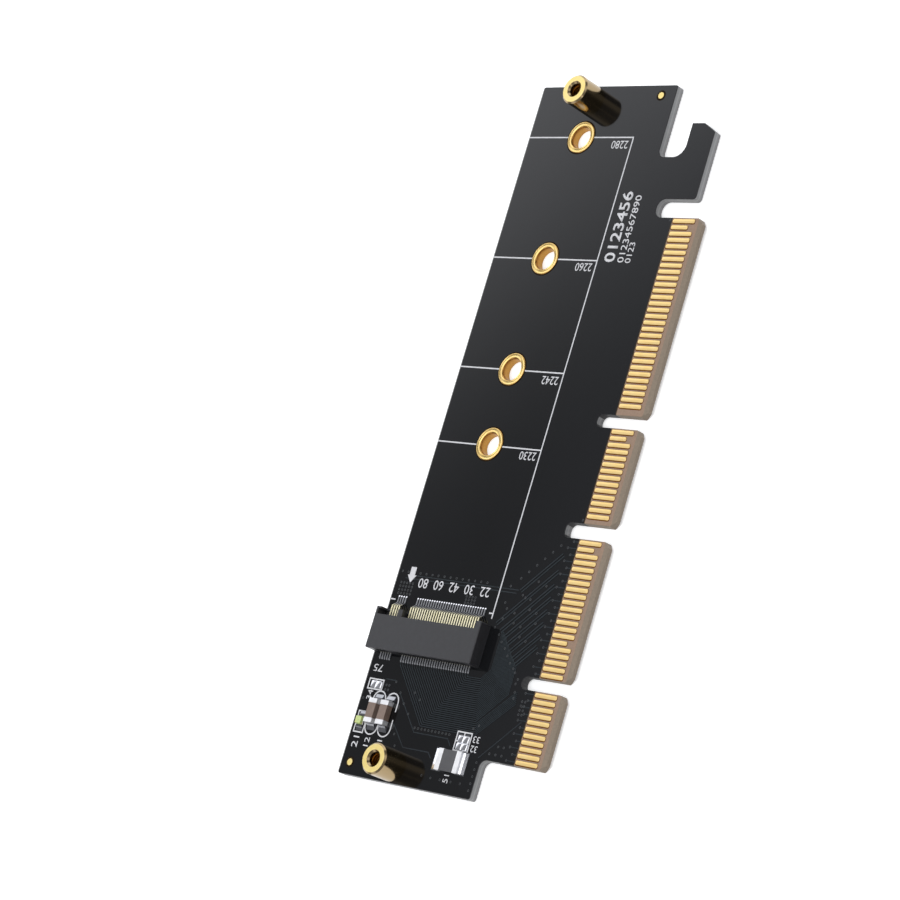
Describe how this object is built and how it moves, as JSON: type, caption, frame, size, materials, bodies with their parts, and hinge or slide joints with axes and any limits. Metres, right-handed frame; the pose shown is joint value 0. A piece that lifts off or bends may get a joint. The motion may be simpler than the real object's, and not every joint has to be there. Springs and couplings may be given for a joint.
{
  "type": "nvme adapter card",
  "caption": "Flat black adapter card: gold slot contacts along one edge, a storage module socket, ringed module holes and two brass standoffs.",
  "frame": {"origin": "middle of the card's outline, on the plane of the back contacts that it lies on", "axes": "+X along the card from the bracket end to the far end, +Y towards the plain long edge (contacts on -Y), +Z out of the component side"},
  "size_m": [0.1116, 0.0398, 0.006],
  "materials": {
    "laminate": "glossy black solder mask on glass-epoxy laminate",
    "gold": "gold plated copper",
    "brass": "turned brass, clear plated",
    "housing_black": "moulded black plastic",
    "spring_metal": "selectively gold plated spring strip",
    "tin": "tinned pads and solder",
    "ceramic_brown": "fired ceramic, semi-matt",
    "fuse_grey": "dark grey polymer",
    "lens_green": "yellow-green clear resin",
    "led_white": "white resin"
  },
  "bodies": {
    "root": {"circuit_board": "laminate", "front_edge_contacts": "gold", "back_edge_contacts": "gold", "hole_ring_30": "gold", "hole_ring_42": "gold", "hole_ring_60": "gold", "hole_ring_80": "gold", "front_standoff": "brass", "rear_standoff": "brass", "socket_housing": "housing_black", "socket_lower_contacts": "spring_metal", "socket_upper_contacts": "spring_metal", "socket_pads": "tin", "component_pads": "tin", "spare_solder_domes": "tin", "fiducial_dots": "gold", "capacitor_1_body": "ceramic_brown", "capacitor_1_terminals": "tin", "capacitor_1_solder": "tin", "capacitor_2_body": "ceramic_brown", "capacitor_2_terminals": "tin", "capacitor_2_solder": "tin", "fuse_body": "fuse_grey", "fuse_terminals": "tin", "fuse_solder": "tin", "led_base": "led_white", "led_lens": "lens_green", "led_terminals": "tin", "led_solder": "tin"}
  },
  "joints": []
}
